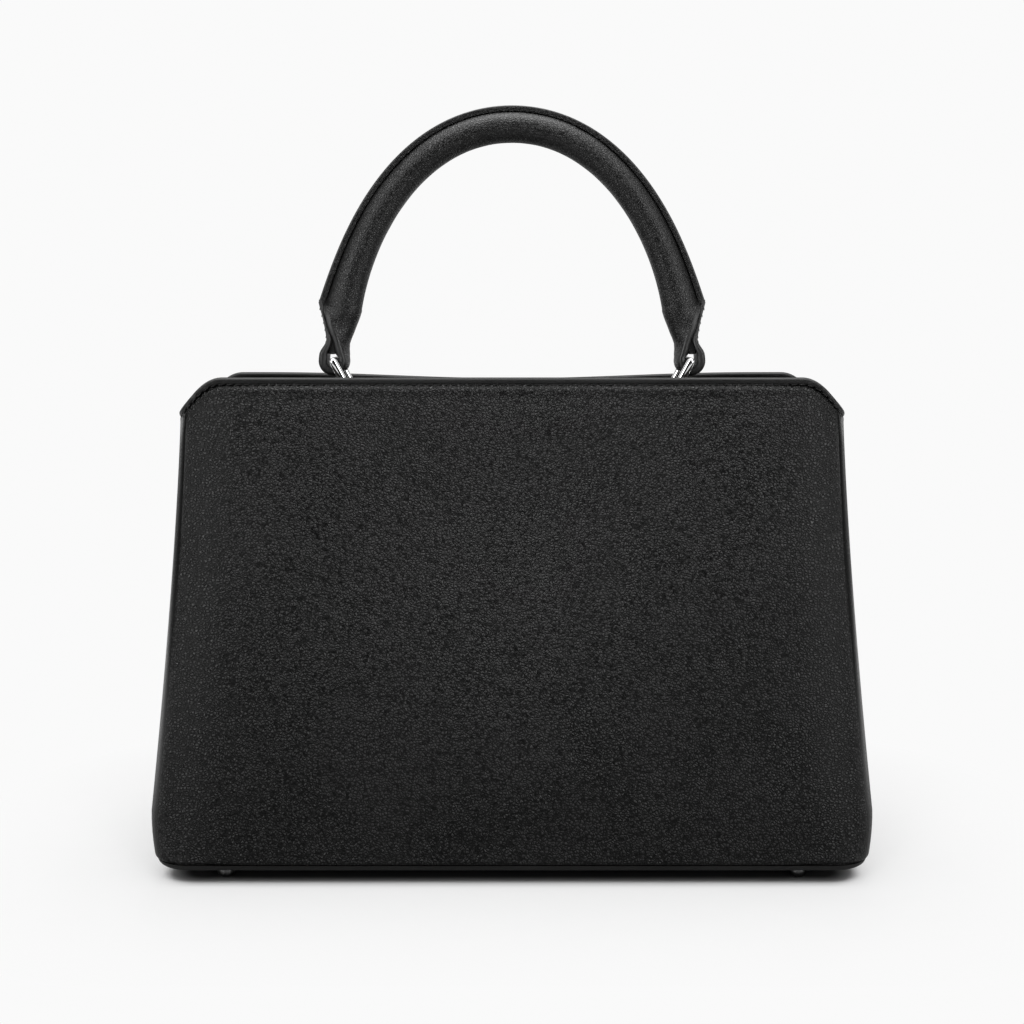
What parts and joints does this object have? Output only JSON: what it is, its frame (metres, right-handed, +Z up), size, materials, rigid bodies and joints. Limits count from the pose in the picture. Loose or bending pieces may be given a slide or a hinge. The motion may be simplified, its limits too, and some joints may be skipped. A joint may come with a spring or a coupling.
{
  "type": "top handle bag",
  "caption": "Structured leather bag, wider at the base, with a rolled top handle on two rings, an open mouth and a zipped centre pouch.",
  "frame": {"origin": "on the floor under the middle of the bag, where the feet stand", "axes": "+Z up, +X to the right seen from the front, -Y towards the front"},
  "size_m": [0.331, 0.15, 0.3519],
  "materials": {
    "outer_leather": "pebbled, semi-matt",
    "smooth_leather": "smooth, painted edges",
    "lining": "fine twill",
    "board": "matt fibre board",
    "polished_steel": "mirror polished",
    "dark_steel": "dark nickel",
    "tape": "woven tape",
    "rope": "twisted cotton"
  },
  "bodies": {
    "carcass": {"base_panel": "smooth_leather", "base_board": "board", "base_lining": "lining", "feet": "dark_steel", "foot_nuts": "dark_steel", "gusset_left_front": "outer_leather", "gusset_left_back": "outer_leather", "gusset_right_front": "outer_leather", "gusset_right_back": "outer_leather", "pouch_front": "lining", "pouch_back": "lining", "pouch_board_front": "board", "pouch_board_back": "board", "pouch_strip": "lining", "pouch_top": "smooth_leather", "anchor_plates": "dark_steel", "tab_rivets": "polished_steel", "zip_tapes": "tape", "zip_teeth": "polished_steel", "zip_stops": "polished_steel", "snap_sockets": "polished_steel"},
    "front_wall": {"front_panel": "outer_leather", "front_board": "board", "front_lining": "lining", "front_binding": "smooth_leather", "front_snap": "polished_steel"},
    "back_wall": {"back_panel": "outer_leather", "back_board": "board", "back_lining": "lining", "back_binding": "smooth_leather", "back_snap": "polished_steel"},
    "handle_tabs": {"handle_tab_left": "smooth_leather", "handle_tab_right": "smooth_leather"},
    "ring_left": {"ring_left": "polished_steel"},
    "ring_right": {"ring_right": "polished_steel"},
    "handle": {"handle_rope": "rope", "handle_cover": "outer_leather", "handle_strap_left": "outer_leather", "handle_strap_right": "outer_leather"},
    "zip_slider": {"zip_slider": "polished_steel"},
    "zip_puller": {"zip_puller": "polished_steel"}
  },
  "joints": [
    {"name": "front_wall_open", "type": "hinge", "parent": "carcass", "child": "front_wall", "pos_m": [0, -0.075, 0.0097], "axis": [1, 0, 0], "range_deg": [0, 5], "deforming": ["gusset_left_front", "gusset_right_front"]},
    {"name": "back_wall_open", "type": "hinge", "parent": "carcass", "child": "back_wall", "pos_m": [0, 0.075, 0.0097], "axis": [-1, 0, 0], "range_deg": [0, 5], "deforming": ["gusset_left_back", "gusset_right_back"]},
    {"name": "handle_lean", "type": "hinge", "parent": "carcass", "child": "handle_tabs", "pos_m": [0, 0, 0.2144], "axis": [1, 0, 0], "range_deg": [-8, 8], "stiffness_Nm_per_rad": 1.2, "deforming": ["handle_tab_left", "handle_tab_right"]},
    {"name": "ring_left_swing", "type": "hinge", "parent": "handle_tabs", "child": "ring_left", "pos_m": [-0.07575, 0, 0.21731], "axis": [0, 1, 0], "range_deg": [-12, 12], "stiffness_Nm_per_rad": 0.3},
    {"name": "handle_sway", "type": "hinge", "parent": "ring_left", "child": "handle", "pos_m": [-0.0842, 0, 0.2332], "axis": [0, 1, 0], "range_deg": [-11, 11]},
    {"name": "ring_right_swing", "type": "hinge", "parent": "handle_tabs", "child": "ring_right", "pos_m": [0.07575, 0, 0.21731], "axis": [0, 1, 0], "range_deg": [-12, 12]},
    {"name": "zip_slide", "type": "slide", "parent": "carcass", "child": "zip_slider", "axis": [-1, 0, 0], "range_m": [0, 0.102], "deforming": ["zip_teeth", "zip_tapes"]},
    {"name": "puller_lift", "type": "hinge", "parent": "zip_slider", "child": "zip_puller", "pos_m": [0.05625, 0, 0.21296], "axis": [0, 1, 0], "range_deg": [0, 110]}
  ],
  "couplings": [
    {"joint": "handle_sway", "follows": "ring_left_swing", "ratio": -0.9},
    {"joint": "ring_right_swing", "follows": "ring_left_swing", "ratio": 1}
  ]
}
